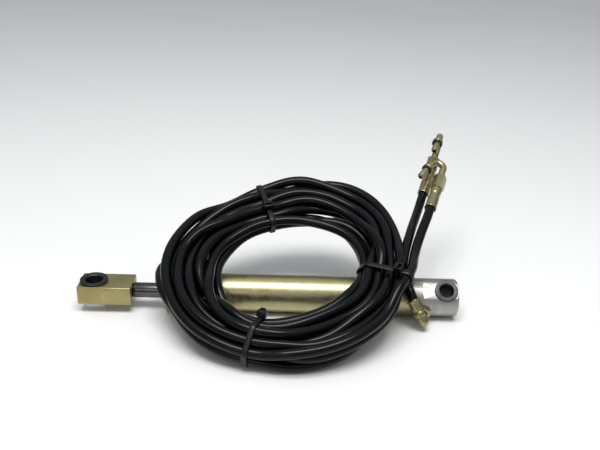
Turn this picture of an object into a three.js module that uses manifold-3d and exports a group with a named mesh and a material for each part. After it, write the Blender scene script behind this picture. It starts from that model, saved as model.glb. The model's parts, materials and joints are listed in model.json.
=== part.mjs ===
// A small double-acting hydraulic cylinder, used as a linear actuator, with its two
// pressure hoses wound into one tied coil that leans on the barrel.
//
// Units are millimetres. The cylinder lies along X on the plane z = 0, with the base
// eye at +X and the rod eye at -X. +Y is the side away from the base port, +Z is up.

import * as THREE from 'three';
import { mergeVertices } from 'three/addons/utils/BufferGeometryUtils.js';
import Module from 'manifold-3d';

const wasm = await Module();
wasm.setup();

// ---------------------------------------------------------------- driving dimensions

const BARREL_OD = 25;
const BORE = 20;
const ROD_D = 10;
const AXIS_Z = BARREL_OD / 2;

const CLOSED_LENGTH = 249;
const LEFT_END = -CLOSED_LENGTH / 2;
const RIGHT_END = CLOSED_LENGTH / 2;
const BARREL_LEFT = -68;
const BARREL_RIGHT = 94;
const FACE_GAP = 0.3;
const FIT_GAP = 0.15;

const CAP_LEFT = BARREL_RIGHT + FACE_GAP;
const SPIGOT_LENGTH = 8;
const CAP_RIM = 2.5;
const BASE_EYE_X = RIGHT_END - 8.5;
const BASE_EYE_TILT = THREE.MathUtils.degToRad(51);
const SPOT_FACE = 11.2;
const SPOT_CUTTER_R = 15.6;
const REAR_FLAT = 9.5;
const BASE_BUSH = { bore: 8.3, body: 12, flange: 15, flangeThickness: 1.4 };

const BLOCK = { length: 35, width: 20, thickness: 12.5, edge: 0.5 };
const ROD_EYE_X = LEFT_END + 9.2;
const ROD_BUSH = { bore: 10.8, body: 13.6, flange: 18.2, flangeThickness: 1.2 };
const BLOCK_RIGHT = LEFT_END + BLOCK.length;
const THREAD_D = 8;
const THREAD_DEPTH = 12.5;

const GLAND_LEFT = -64.8;
const GLAND_SHOULDER = -51.5;
const GLAND_NOSE_RIGHT = -41.5;
const GLAND_NOSE_D = 15;
const SNAP_GROOVE = { left: -66.4, right: -64.9, depth: 0.9 };

const PISTON_RIGHT = CAP_LEFT - SPIGOT_LENGTH - 2;
const PISTON_LENGTH = 16.5;
const PISTON_LEFT = PISTON_RIGHT - PISTON_LENGTH;
const PISTON_NUT = { acrossFlats: 13, thickness: 5, recess: 16.4 };

const HOSE_D = 6.5;
const PIPE_D = 5;
const FERRULE_D = 8.4;
const COIL = { x: 12.3, y: -2.5, z: 35, radius: 62, halfWidth: 17, halfThickness: 7.4 };
const COIL_TILT = THREE.MathUtils.degToRad(20.5);
const TIE_WIDTH = 4.6;
const TIE_THICKNESS = 1.2;
const TIE_ANGLES = { top: 108, right: -7, bottom: 251 };

const ROUND = 32;
const RING_ROUND = 24;
const SMALL_ROUND = 16;
const HOSE_SIDES = 10;

// O-rings: mean radius and section.
const CAP_RING = { radius: 9.1, section: 1.5 };
const GLAND_RING = { radius: 9.05, section: 1.6 };
const PISTON_RING = { radius: 4.75, section: 1 };
const PORT_RING = { radius: 3.35, section: 1.1 };
const END_RING = { radius: 3.3, section: 1.1 };

// ---------------------------------------------------------------- materials

function material(color, roughness, metalness) {
  return new THREE.MeshStandardMaterial({ color, roughness, metalness });
}

const YELLOW_ZINC = material(0xa69a68, 0.35, 0.9);
const BARE_STEEL = material(0xaaa99e, 0.4, 0.9);
const DARK_STEEL = material(0x4f5552, 0.45, 0.8);
const CHROME = material(0x8d9089, 0.12, 1.0);
const SEAL_RUBBER = material(0x1a1a1a, 0.7, 0.0);
const HOSE_BLACK = material(0x101010, 0.3, 0.0);
const NYLON_BLACK = material(0x0c0c0c, 0.4, 0.0);
const BRONZE = material(0x8f6f3e, 0.4, 0.9);
const PTFE = material(0x3c5a50, 0.5, 0.0);

// ---------------------------------------------------------------- geometry helpers

// Merges a closed geometry's corners, drops its empty faces, and turns its faces outward when
// its signed volume says that they point in.
function outward(geometry) {
  const bare = geometry.index ? geometry.toNonIndexed() : geometry;
  bare.deleteAttribute('normal');
  bare.deleteAttribute('uv');
  const closed = mergeVertices(bare, 1e-4);
  const corner = (i) => new THREE.Vector3().fromBufferAttribute(closed.attributes.position, i);
  const faces = [];
  let volume = 0;
  for (let i = 0; i < closed.index.count; i += 3) {
    const [a, b, c] = closed.index.array.slice(i, i + 3);
    if (a !== b && b !== c && c !== a) {
      faces.push([a, b, c]);
      volume += corner(a).dot(corner(b).cross(corner(c)));
    }
  }
  closed.setIndex(faces.flatMap(([a, b, c]) => (volume < 0 ? [a, c, b] : [a, b, c])));
  return closed;
}

function solid(geometry) {
  const closed = outward(geometry);
  const vertProperties = new Float32Array(closed.attributes.position.array);
  const triVerts = new Uint32Array(closed.index.array);
  return new wasm.Manifold(new wasm.Mesh({ numProp: 3, vertProperties, triVerts }));
}

function geometryOf(manifold) {
  const { vertProperties, triVerts } = manifold.getMesh();
  const geometry = new THREE.BufferGeometry();
  geometry.setAttribute('position', new THREE.BufferAttribute(new Float32Array(vertProperties), 3));
  geometry.setIndex(Array.from(triVerts));
  return geometry;
}

// A piece from a geometry or from a manifold-3d solid.
function piece(name, shape, look) {
  const geometry = shape.isBufferGeometry ? outward(shape) : geometryOf(shape);
  const flat = geometry.toNonIndexed();
  flat.computeVertexNormals();
  const mesh = new THREE.Mesh(flat, look);
  mesh.name = name;
  return mesh;
}

// A solid of revolution about X. Its outline is a list of [x, radius], and it closes on itself.
function turned(outline, segments = ROUND) {
  const points = outline.map(([x, radius]) => new THREE.Vector2(radius, x));
  points.push(points[0].clone());
  return new THREE.LatheGeometry(points, segments).rotateZ(-Math.PI / 2);
}

function disc(x0, x1, radius, segments = ROUND) {
  return turned([[x0, 0], [x0, radius], [x1, radius], [x1, 0]], segments);
}

function sleeve(x0, x1, inner, outer, segments = ROUND) {
  return turned([[x0, inner], [x0, outer], [x1, outer], [x1, inner]], segments);
}

// An O-ring around X at x = 0, with a six-sided section.
function oRing(meanRadius, section, segments = SMALL_ROUND) {
  const outline = [];
  for (let i = 0; i < 6; i += 1) {
    const angle = (i / 6) * 2 * Math.PI;
    outline.push([Math.sin(angle) * section / 2, meanRadius + Math.cos(angle) * section / 2]);
  }
  return turned(outline, segments);
}

// Turns and moves a geometry that is built along +X so that it starts at a point and runs along
// a direction. The side vector says where its own +Z goes.
function aim(geometry, start, direction, side = new THREE.Vector3(0, 0, 1)) {
  const x = direction.clone().normalize();
  const y = side.clone().cross(x).normalize();
  const z = x.clone().cross(y);
  const place = new THREE.Matrix4().makeBasis(x, y, z).setPosition(start);
  return geometry.clone().applyMatrix4(place);
}

function roundSection(radius, sides) {
  const corners = [];
  for (let i = 0; i < sides; i += 1) {
    const angle = ((i + 0.5) / sides) * 2 * Math.PI;
    corners.push(new THREE.Vector2(Math.cos(angle) * radius, Math.sin(angle) * radius));
  }
  return new THREE.Shape(corners);
}

function tubeAlong(curve, diameter, sides, steps) {
  const section = roundSection(diameter / 2, sides);
  return new THREE.ExtrudeGeometry(section, { extrudePath: curve, steps });
}

function point(x, y, z) {
  return new THREE.Vector3(x, y, z);
}

// A path of straight runs joined by soft bends, each bend starting `reach` before its corner.
function bentPath(corners, reach) {
  const path = new THREE.CurvePath();
  let start = corners[0];
  for (let i = 1; i < corners.length - 1; i += 1) {
    const before = corners[i].clone().add(corners[i - 1].clone().sub(corners[i]).setLength(reach));
    const after = corners[i].clone().add(corners[i + 1].clone().sub(corners[i]).setLength(reach));
    path.add(new THREE.LineCurve3(start, before));
    path.add(new THREE.QuadraticBezierCurve3(before, corners[i], after));
    start = after;
  }
  path.add(new THREE.LineCurve3(start, corners[corners.length - 1]));
  return path;
}

function hexagon(acrossFlats) {
  const corners = [];
  for (let i = 0; i < 6; i += 1) {
    const angle = (i / 6) * 2 * Math.PI;
    const radius = acrossFlats / Math.sqrt(3);
    corners.push(new THREE.Vector2(Math.cos(angle) * radius, Math.sin(angle) * radius));
  }
  return new THREE.Shape(corners);
}

// A hexagonal nut along X with a round hole.
function hexNut(acrossFlats, length, hole, segments = SMALL_ROUND) {
  const body = new THREE.ExtrudeGeometry(hexagon(acrossFlats), { depth: length, bevelEnabled: false });
  body.rotateY(Math.PI / 2);
  return solid(body).subtract(solid(disc(-1, length + 1, hole / 2, segments)));
}

// ---------------------------------------------------------------- barrel and gland

const CENTRE = point(0, 0, AXIS_Z);
const BARREL_R = BARREL_OD / 2;
const BORE_R = BORE / 2;
const ROD_R = ROD_D / 2;

// Ports: where each one opens on the barrel's line, and how far below level it points.
const BASE_PORT = { x: 101, side: -1, dip: THREE.MathUtils.degToRad(17) };
const ROD_PORT = { x: -46.5, side: 1, dip: THREE.MathUtils.degToRad(22.5) };
const PORT_POCKET_D = 8.6;
const PORT_POCKET_DEPTH = 3.3;
const PORT_CHANNEL_D = 4;

function portDirection(port) {
  return point(0, port.side * Math.cos(port.dip), -Math.sin(port.dip));
}

function portPoint(port, radial) {
  return point(port.x, 0, 0).add(portDirection(port).multiplyScalar(radial));
}

// A round drill along the port's direction, between two distances from the barrel's axis.
function portDrill(port, from, to, diameter) {
  const drill = disc(0, to - from, diameter / 2, SMALL_ROUND);
  return solid(aim(drill, portPoint(port, from), portDirection(port)));
}

function barrelTube() {
  const grooveR = BORE_R + SNAP_GROOVE.depth;
  const tube = solid(turned([
    [BARREL_LEFT, BORE_R + 0.6],
    [BARREL_LEFT, BARREL_R - 0.4],
    [BARREL_LEFT + 0.4, BARREL_R],
    [BARREL_RIGHT, BARREL_R],
    [BARREL_RIGHT, BORE_R],
    [SNAP_GROOVE.right, BORE_R],
    [SNAP_GROOVE.right, grooveR],
    [SNAP_GROOVE.left, grooveR],
    [SNAP_GROOVE.left, BORE_R],
    [BARREL_LEFT + 0.6, BORE_R],
  ]));
  return tube.subtract(portDrill(ROD_PORT, BORE_R - 2, BARREL_R + 2, PORT_CHANNEL_D));
}

// The boss that carries the rod-end port, shaped to sit on the tube.
const BOSS = { diameter: 11.6, height: 16.8 };

function portBoss() {
  const boss = portDrill(ROD_PORT, BORE_R, BOSS.height, BOSS.diameter);
  const saddle = solid(disc(ROD_PORT.x - 20, ROD_PORT.x + 20, BARREL_R + FACE_GAP));
  return boss
    .subtract(saddle)
    .subtract(portDrill(ROD_PORT, BOSS.height - PORT_POCKET_DEPTH, BOSS.height + 1, PORT_POCKET_D))
    .subtract(portDrill(ROD_PORT, 0, 20, PORT_CHANNEL_D));
}

const GLAND_R = BORE_R - FIT_GAP;
const GLAND_RING_GROOVE = { left: -59.5, right: -56.3, radius: 8.1 };
const WIPER = { right: -61.9, radius: 7.2 };
const ROD_SEAL = { left: -59.3, right: -55.9, radius: 7 };
const GUIDE = { left: -53, radius: 6.3 };
const ROD_CLEARANCE = 0.1;

function rodGland() {
  const throat = ROD_R + 0.25;
  return turned([
    [GLAND_LEFT, WIPER.radius],
    [GLAND_LEFT, GLAND_R],
    [GLAND_RING_GROOVE.left, GLAND_R],
    [GLAND_RING_GROOVE.left, GLAND_RING_GROOVE.radius],
    [GLAND_RING_GROOVE.right, GLAND_RING_GROOVE.radius],
    [GLAND_RING_GROOVE.right, GLAND_R],
    [GLAND_SHOULDER, GLAND_R],
    [GLAND_SHOULDER, GLAND_NOSE_D / 2],
    [GLAND_NOSE_RIGHT, GLAND_NOSE_D / 2],
    [GLAND_NOSE_RIGHT, GUIDE.radius],
    [GUIDE.left, GUIDE.radius],
    [GUIDE.left, throat],
    [ROD_SEAL.right, throat],
    [ROD_SEAL.right, ROD_SEAL.radius],
    [ROD_SEAL.left, ROD_SEAL.radius],
    [ROD_SEAL.left, throat],
    [WIPER.right, throat],
    [WIPER.right, WIPER.radius],
  ]);
}

function rodWiper() {
  const inner = ROD_R + ROD_CLEARANCE;
  const outer = WIPER.radius - FIT_GAP;
  return turned([
    [GLAND_LEFT - 1.2, inner],
    [GLAND_LEFT - 1.2, inner + 0.5],
    [GLAND_LEFT, inner + 1],
    [GLAND_LEFT, outer],
    [WIPER.right - FIT_GAP, outer],
    [WIPER.right - FIT_GAP, inner + 0.7],
    [GLAND_LEFT + 0.8, inner + 0.4],
  ]);
}

function rodSeal() {
  const inner = ROD_R + ROD_CLEARANCE;
  const outer = ROD_SEAL.radius - FIT_GAP;
  const middle = (inner + outer) / 2;
  const [left, right] = [ROD_SEAL.left + FIT_GAP, ROD_SEAL.right - FIT_GAP];
  return turned([[left, inner], [left, outer], [right, outer], [right - 1.2, middle], [right, inner]]);
}

// An open spring ring that keeps the gland in the tube.
function snapRing() {
  const [inner, outer, halfGap] = [8.7, BORE_R + SNAP_GROOVE.depth - 0.2, 0.35];
  const shape = new THREE.Shape();
  shape.absarc(0, 0, outer, halfGap, 2 * Math.PI - halfGap, false);
  shape.absarc(0, 0, inner, 2 * Math.PI - halfGap * 1.1, halfGap * 1.1, true);
  shape.closePath();
  const thickness = SNAP_GROOVE.right - SNAP_GROOVE.left - 0.3;
  const ring = new THREE.ExtrudeGeometry(shape, { depth: thickness, bevelEnabled: false, curveSegments: 20 });
  return ring.rotateY(Math.PI / 2).translate(SNAP_GROOVE.left + 0.15, 0, 0);
}

// ---------------------------------------------------------------- end cap and base eye

// Directions about the base eye: its bore leans towards -Y as it rises.
const EYE_AXIS = point(0, -Math.cos(BASE_EYE_TILT), Math.sin(BASE_EYE_TILT));
const EYE_CENTRE = point(BASE_EYE_X, 0, 0);

function alongEye(geometry, offset) {
  const start = EYE_CENTRE.clone().addScaledVector(EYE_AXIS, offset);
  return solid(aim(geometry, start, EYE_AXIS, point(1, 0, 0)));
}

const CAP_RING_GROOVE = { left: CAP_LEFT - 5.8, right: CAP_LEFT - 2.8, radius: 8.2 };
const RIM_STEPS = 4;

function endCap() {
  const spigotLeft = CAP_LEFT - SPIGOT_LENGTH;
  const spigotR = BORE_R - FIT_GAP;
  const rim = [];
  for (let i = 0; i <= RIM_STEPS; i += 1) {
    const angle = ((i / RIM_STEPS) * Math.PI) / 2;
    const x = RIGHT_END - CAP_RIM * (1 - Math.sin(angle));
    rim.push([x, BARREL_R - CAP_RIM * (1 - Math.cos(angle))]);
  }
  const blank = solid(turned([
    [spigotLeft, 0],
    [spigotLeft, spigotR - 0.5],
    [spigotLeft + 0.5, spigotR],
    [CAP_RING_GROOVE.left, spigotR],
    [CAP_RING_GROOVE.left, CAP_RING_GROOVE.radius],
    [CAP_RING_GROOVE.right, CAP_RING_GROOVE.radius],
    [CAP_RING_GROOVE.right, spigotR],
    [CAP_LEFT, spigotR],
    [CAP_LEFT, BARREL_R],
    ...rim,
    [RIGHT_END, 0],
  ]));
  return blank
    .subtract(alongEye(disc(0, 20, SPOT_CUTTER_R), SPOT_FACE))
    .subtract(alongEye(disc(0, 20, SPOT_CUTTER_R), -REAR_FLAT - 20))
    .subtract(alongEye(disc(0, 60, BASE_BUSH.body / 2 + FIT_GAP, ROUND), -30))
    .subtract(portDrill(BASE_PORT, BARREL_R - PORT_POCKET_DEPTH, BARREL_R + 2, PORT_POCKET_D))
    .subtract(portDrill(BASE_PORT, 0, BARREL_R, PORT_CHANNEL_D))
    .subtract(solid(disc(spigotLeft - 1, BASE_PORT.x + 1, PORT_CHANNEL_D / 2, SMALL_ROUND)));
}

// A bush with a thin flange at its start and a straight body, along +X.
function flangedBush(size, length) {
  return turned([
    [0, size.bore / 2 + 0.4],
    [0, size.flange / 2 - 0.3],
    [0.3, size.flange / 2],
    [size.flangeThickness, size.flange / 2],
    [size.flangeThickness, size.body / 2],
    [length, size.body / 2],
    [length, size.bore / 2],
    [0.4, size.bore / 2],
  ]);
}

function baseEyeBush() {
  const front = SPOT_FACE + FIT_GAP + BASE_BUSH.flangeThickness;
  const length = front + REAR_FLAT;
  const start = EYE_CENTRE.clone().addScaledVector(EYE_AXIS, front);
  return aim(flangedBush(BASE_BUSH, length), start, EYE_AXIS.clone().negate(), point(1, 0, 0));
}

// ---------------------------------------------------------------- ports and their pipes

// Each port's pipe leaves the seat, turns once, and ends in the ferrule crimped on the hose.
const PIPE_RUNS = {
  base: { port: BASE_PORT, face: BARREL_R, corner: 25.5, end: point(92.9, -16.9, 7.6) },
  rod: { port: ROD_PORT, face: BOSS.height, corner: 25.2, end: point(-59.2, 20.8, 5) },
};
const PORT_FERRULE_LENGTH = 12;
const PIPE_BEND_REACH = 5;

function pipeRun(run) {
  const corner = portPoint(run.port, run.corner);
  const direction = run.end.clone().sub(corner).normalize();
  const ferruleStart = run.end.clone().addScaledVector(direction, -PORT_FERRULE_LENGTH);
  return { corner, direction, ferruleStart };
}

function portPipe(run) {
  const { corner, direction, ferruleStart } = pipeRun(run);
  const last = ferruleStart.clone().addScaledVector(direction, -FACE_GAP);
  const first = portPoint(run.port, run.face - PORT_POCKET_DEPTH + FACE_GAP);
  const path = bentPath([first, corner, last], PIPE_BEND_REACH);
  return tubeAlong(path, PIPE_D, 12, 12);
}

function crimpedFerrule(length, diameter) {
  const r = diameter / 2;
  const waist = { from: length * 0.55, to: length * 0.72, radius: r - 0.5 };
  return turned([
    [0, 0],
    [0, r - 0.5],
    [0.5, r],
    [waist.from, r],
    [waist.from + 0.6, waist.radius],
    [waist.to - 0.6, waist.radius],
    [waist.to, r],
    [length - 0.5, r],
    [length, r - 0.5],
    [length, 0],
  ], SMALL_ROUND);
}

function portFerrule(run) {
  const { direction, ferruleStart } = pipeRun(run);
  return aim(crimpedFerrule(PORT_FERRULE_LENGTH, FERRULE_D), ferruleStart, direction);
}

const PORT_NUT = { acrossFlats: 9, head: 2.6, shank: 2, hole: PIPE_D + 0.6 };

function portNut(run) {
  const shank = solid(disc(-PORT_NUT.shank, 0.5, PORT_POCKET_D / 2 - 0.3, SMALL_ROUND));
  const head = hexNut(PORT_NUT.acrossFlats, PORT_NUT.head, 1);
  const hole = solid(disc(-10, 10, PORT_NUT.hole / 2, SMALL_ROUND));
  const nut = geometryOf(shank.add(head).subtract(hole));
  return aim(nut, portPoint(run.port, run.face + FACE_GAP), portDirection(run.port));
}

function portRing(run) {
  const ring = oRing(PORT_RING.radius, PORT_RING.section).translate(-PORT_NUT.shank - 0.6, 0, 0);
  return aim(ring, portPoint(run.port, run.face), portDirection(run.port));
}

// ---------------------------------------------------------------- rod, piston and rod eye

const PISTON_THREAD_R = THREAD_D / 2;
const NUT_RECESS_DEPTH = PISTON_NUT.thickness + 0.6;

function pistonRod() {
  const shoulder = PISTON_LEFT - FACE_GAP;
  const left = BLOCK_RIGHT - THREAD_DEPTH;
  const right = PISTON_RIGHT - 0.2;
  return turned([
    [left, 0],
    [left, PISTON_THREAD_R - 0.6],
    [left + 0.6, PISTON_THREAD_R],
    [BLOCK_RIGHT + FACE_GAP, PISTON_THREAD_R],
    [BLOCK_RIGHT + FACE_GAP, ROD_R - 0.4],
    [BLOCK_RIGHT + FACE_GAP + 0.4, ROD_R],
    [shoulder, ROD_R],
    [shoulder, PISTON_THREAD_R],
    [right - 0.6, PISTON_THREAD_R],
    [right, PISTON_THREAD_R - 0.6],
    [right, 0],
  ]);
}

const GUIDE_RING = { left: PISTON_LEFT + 1.5, width: 4, radius: 8.5 };
const SEAL_GROOVE = { left: PISTON_LEFT + 7.2, width: 3.2, radius: 7.6 };
const INNER_RING = { left: PISTON_LEFT + 7.7, width: 2.2, radius: 5.4 };

function pistonBody() {
  const bore = PISTON_THREAD_R + FIT_GAP;
  const outer = BORE_R - 0.2;
  const recessLeft = PISTON_RIGHT - NUT_RECESS_DEPTH;
  const outline = [[PISTON_LEFT, bore], [PISTON_LEFT, outer - 0.4], [PISTON_LEFT + 0.4, outer]];
  for (const groove of [GUIDE_RING, SEAL_GROOVE]) {
    const right = groove.left + groove.width;
    outline.push([groove.left, outer], [groove.left, groove.radius]);
    outline.push([right, groove.radius], [right, outer]);
  }
  const recessR = PISTON_NUT.recess / 2;
  outline.push([PISTON_RIGHT - 0.4, outer], [PISTON_RIGHT, outer - 0.4], [PISTON_RIGHT, recessR]);
  outline.push([recessLeft, recessR], [recessLeft, bore]);
  const innerRight = INNER_RING.left + INNER_RING.width;
  outline.push([innerRight, bore], [innerRight, INNER_RING.radius]);
  outline.push([INNER_RING.left, INNER_RING.radius], [INNER_RING.left, bore]);
  return turned(outline);
}

function pistonNut() {
  const left = PISTON_RIGHT - NUT_RECESS_DEPTH + FACE_GAP;
  const nut = hexNut(PISTON_NUT.acrossFlats, PISTON_NUT.thickness, THREAD_D + 2 * FIT_GAP);
  return geometryOf(nut).translate(left, 0, 0);
}

function pistonSeal() {
  const [inner, outer] = [SEAL_GROOVE.radius + FIT_GAP, BORE_R - 0.05];
  const left = SEAL_GROOVE.left + FIT_GAP;
  const right = SEAL_GROOVE.left + SEAL_GROOVE.width - FIT_GAP;
  return turned([[left, inner], [left, outer], [right, outer], [right, inner]]);
}

function pistonGuideRing() {
  const left = GUIDE_RING.left + FIT_GAP;
  return sleeve(left, left + GUIDE_RING.width - 2 * FIT_GAP, GUIDE_RING.radius + FIT_GAP, BORE_R - 0.05);
}

function rodEndBlock() {
  const [hl, hw, hole] = [BLOCK.length / 2 - BLOCK.edge, BLOCK.width / 2 - BLOCK.edge, ROD_BUSH.body / 2];
  const outline = new THREE.Shape([
    new THREE.Vector2(-hl, -hw),
    new THREE.Vector2(hl, -hw),
    new THREE.Vector2(hl, hw),
    new THREE.Vector2(-hl, hw),
  ]);
  const body = new THREE.ExtrudeGeometry(outline, {
    depth: BLOCK.thickness - 2 * BLOCK.edge,
    bevelThickness: BLOCK.edge,
    bevelSize: BLOCK.edge,
    bevelSegments: 1,
  });
  body.translate(LEFT_END + BLOCK.length / 2, 0, -BLOCK.thickness / 2 + BLOCK.edge);
  const eye = disc(-20, 20, hole + FIT_GAP).rotateY(Math.PI / 2).translate(ROD_EYE_X, 0, 0);
  const thread = disc(BLOCK_RIGHT - THREAD_DEPTH - 1, BLOCK_RIGHT + 1, PISTON_THREAD_R + FIT_GAP);
  return solid(body).subtract(solid(eye)).subtract(solid(thread));
}

function rodEyeBush() {
  const top = BLOCK.thickness / 2 + ROD_BUSH.flangeThickness + FIT_GAP;
  const length = BLOCK.thickness + ROD_BUSH.flangeThickness + FIT_GAP;
  return aim(flangedBush(ROD_BUSH, length), point(ROD_EYE_X, 0, top), point(0, 0, -1), point(1, 0, 0));
}

// ---------------------------------------------------------------- hoses, coil and ties

// A point of the coil's own plane: angle around it from +X, radius, and height above the plane.
function coilPoint(angleDegrees, radius, height) {
  const angle = THREE.MathUtils.degToRad(angleDegrees);
  const [u, v] = [radius * Math.cos(angle), radius * Math.sin(angle)];
  const [s, c] = [Math.sin(COIL_TILT), Math.cos(COIL_TILT)];
  return point(COIL.x + u, COIL.y + v * c - height * s, COIL.z + v * s + height * c);
}

// The outer shape of all the turns: a ring with a rounded oblong section.
function coilRing() {
  const [w, h] = [COIL.halfWidth, COIL.halfThickness];
  const outline = [];
  const corners = 12;
  for (let i = 0; i < corners; i += 1) {
    const angle = ((i + 0.5) / corners) * 2 * Math.PI;
    const [c, s] = [Math.cos(angle), Math.sin(angle)];
    const across = w * Math.sign(c) * Math.abs(c) ** 0.55;
    const up = h * Math.sign(s) * Math.abs(s) ** 0.55;
    outline.push(new THREE.Vector2(COIL.radius + across, up));
  }
  outline.push(outline[0].clone());
  const ring = new THREE.LatheGeometry(outline, 40).rotateX(Math.PI / 2);
  return ring.rotateX(COIL_TILT).translate(COIL.x, COIL.y, COIL.z);
}

// A cable tie: a flat strap around the whole bundle, its head on top and its cut tail.
function cableTie(angleDegrees) {
  const [w, h] = [COIL.halfWidth + FACE_GAP, COIL.halfThickness + FACE_GAP];
  const corner = 3;
  const loop = (grow) => {
    const shape = new THREE.Shape();
    const [x, y, r] = [w + grow, h + grow, corner + grow];
    shape.absarc(x - r, y - r, r, 0, Math.PI / 2, false);
    shape.absarc(-x + r, y - r, r, Math.PI / 2, Math.PI, false);
    shape.absarc(-x + r, -y + r, r, Math.PI, 1.5 * Math.PI, false);
    shape.absarc(x - r, -y + r, r, 1.5 * Math.PI, 2 * Math.PI, false);
    shape.closePath();
    const settings = { depth: TIE_WIDTH, bevelEnabled: false, curveSegments: 3 };
    return solid(new THREE.ExtrudeGeometry(shape, settings).translate(0, 0, -TIE_WIDTH / 2));
  };
  const head = solid(new THREE.BoxGeometry(8, 5, 6.4).translate(0, h + 2.5, 0));
  const tie = geometryOf(loop(TIE_THICKNESS).subtract(loop(0)).add(head));
  const outwardDirection = coilPoint(angleDegrees, 1, 0).sub(coilPoint(angleDegrees, 0, 0));
  const normal = coilPoint(0, 0, 1).sub(coilPoint(0, 0, 0));
  const tangent = outwardDirection.clone().cross(normal);
  const centre = coilPoint(angleDegrees, COIL.radius, 0);
  return tie.applyMatrix4(new THREE.Matrix4().makeBasis(outwardDirection, normal, tangent).setPosition(centre));
}

function hoseTube(points) {
  const curve = new THREE.CatmullRomCurve3(points, false, 'centripetal');
  const steps = Math.max(3, Math.round(curve.getLength() / (2.2 * HOSE_D)));
  return tubeAlong(curve, HOSE_D, HOSE_SIDES, steps);
}

// Where each hose's free end runs, from the coil's right side up to its end fitting.
const TAIL_A = [
  point(92, 18.5, 44.2),
  point(95, 28.8, 46.5),
  point(98.3, 40.4, 47.7),
  point(101.8, 52, 48.9),
  point(105.3, 63, 51.8),
  point(108.5, 71.2, 57.2),
];
const TAIL_B = [
  point(95.3, 7.3, 40.1),
  point(97.6, 14.2, 43.4),
  point(100.4, 21.3, 47.1),
  point(103.4, 28.5, 50.9),
  point(106.6, 36, 54.2),
  point(109.5, 43.9, 57.5),
];

// Where each hose runs from its port's ferrule on, up to the coil's underside.
const LEAD_A = [
  point(90.6, -15, 22.9),
];
const LEAD_B = [
  point(-61.2, 19.6, 19.7),
  point(-65.2, 17.4, 23.2),
  point(-69.1, 13.2, 26.2),
  point(-72, 7.4, 28.2),
  point(-73.4, 0.6, 29.2),
];

function leadTube(run, points) {
  const start = run.end.clone().addScaledVector(pipeRun(run).direction, FACE_GAP).add(CENTRE);
  const straight = start.clone().addScaledVector(pipeRun(run).direction, 1.2);
  return hoseTube([start, straight, ...points]);
}

const END_FERRULE_LENGTH = 20;
const END_NUT = { acrossFlats: 8.4, length: 13 };
const END_PIPE = { bend: 4.6, sweep: 165, back: 18, bore: 2.6, collar: 7.6, collarAt: 5, collarLength: 2.2 };
const END_LEG_A = 12.5;
const END_LEG_B = 9;
const END_SIDE_A = point(-0.12, -0.62, 0.78);
const END_SIDE_B = point(-0.93, 0.24, 0.27);

// The hooked steel pipe of a hose's free end: a leg along +X, a bend towards +Z and a way back.
function hookEnd(leg) {
  const { bend, sweep } = END_PIPE;
  const angle = THREE.MathUtils.degToRad(sweep);
  const end = point(leg + bend * Math.sin(angle), 0, bend * (1 - Math.cos(angle)));
  return { end, direction: point(Math.cos(angle), 0, Math.sin(angle)) };
}

function hookPath(leg) {
  const { bend, sweep, back } = END_PIPE;
  const { end, direction } = hookEnd(leg);
  const path = new THREE.CurvePath();
  path.add(new THREE.LineCurve3(point(0, 0, 0), point(leg, 0, 0)));
  const parts = 6;
  const bow = (turn) => point(leg + bend * Math.sin(turn), 0, bend * (1 - Math.cos(turn)));
  for (let i = 0; i < parts; i += 1) {
    const [from, to] = [i, i + 1].map((n) => THREE.MathUtils.degToRad((sweep * n) / parts));
    path.add(new THREE.LineCurve3(bow(from), bow(to)));
  }
  path.add(new THREE.LineCurve3(end, end.clone().addScaledVector(direction, back)));
  return path;
}

function endPipe(leg) {
  const { end, direction } = hookEnd(leg);
  const { back, collar, collarAt, collarLength, bore } = END_PIPE;
  const onReturn = (from, to, diameter) => {
    const start = end.clone().addScaledVector(direction, from);
    return solid(aim(disc(0, to - from, diameter / 2, SMALL_ROUND), start, direction, point(0, 1, 0)));
  };
  return solid(tubeAlong(hookPath(leg), PIPE_D, 12, 16))
    .add(onReturn(collarAt, collarAt + collarLength, collar))
    .subtract(onReturn(back - 8, back + 1, bore));
}

function endRing(leg) {
  const { end, direction } = hookEnd(leg);
  const seat = END_PIPE.collarAt + END_PIPE.collarLength + FACE_GAP + END_RING.section / 2;
  const start = end.clone().addScaledVector(direction, seat);
  return aim(oRing(END_RING.radius, END_RING.section), start, direction, point(0, 1, 0));
}

// A group holding the four pieces on a hose's free end, placed where the hose ends.
function hoseEnd(name, tail, side, leg) {
  const last = tail[tail.length - 1];
  const direction = last.clone().sub(tail[tail.length - 2]).normalize();
  const nutAt = END_FERRULE_LENGTH + FACE_GAP;
  const pipeAt = nutAt + END_NUT.length + FACE_GAP;
  const group = new THREE.Group();
  const nut = geometryOf(hexNut(END_NUT.acrossFlats, END_NUT.length, 2.4));
  group.add(piece(`${name}_ferrule`, crimpedFerrule(END_FERRULE_LENGTH, FERRULE_D), YELLOW_ZINC));
  group.add(piece(`${name}_hex_nipple`, nut.translate(nutAt, 0, 0), YELLOW_ZINC));
  group.add(piece(`${name}_end_pipe`, geometryOf(endPipe(leg)).translate(pipeAt, 0, 0), YELLOW_ZINC));
  group.add(piece(`${name}_o_ring`, endRing(leg).translate(pipeAt, 0, 0), SEAL_RUBBER));
  const x = direction;
  const y = side.clone().cross(x).normalize();
  const z = x.clone().cross(y);
  const start = last.clone().addScaledVector(x, FACE_GAP);
  group.applyMatrix4(new THREE.Matrix4().makeBasis(x, y, z).setPosition(start));
  return group;
}

// ---------------------------------------------------------------- assembly

const actuator = new THREE.Group();
const cylinder = new THREE.Group();
cylinder.position.copy(CENTRE);
actuator.add(cylinder);

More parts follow.
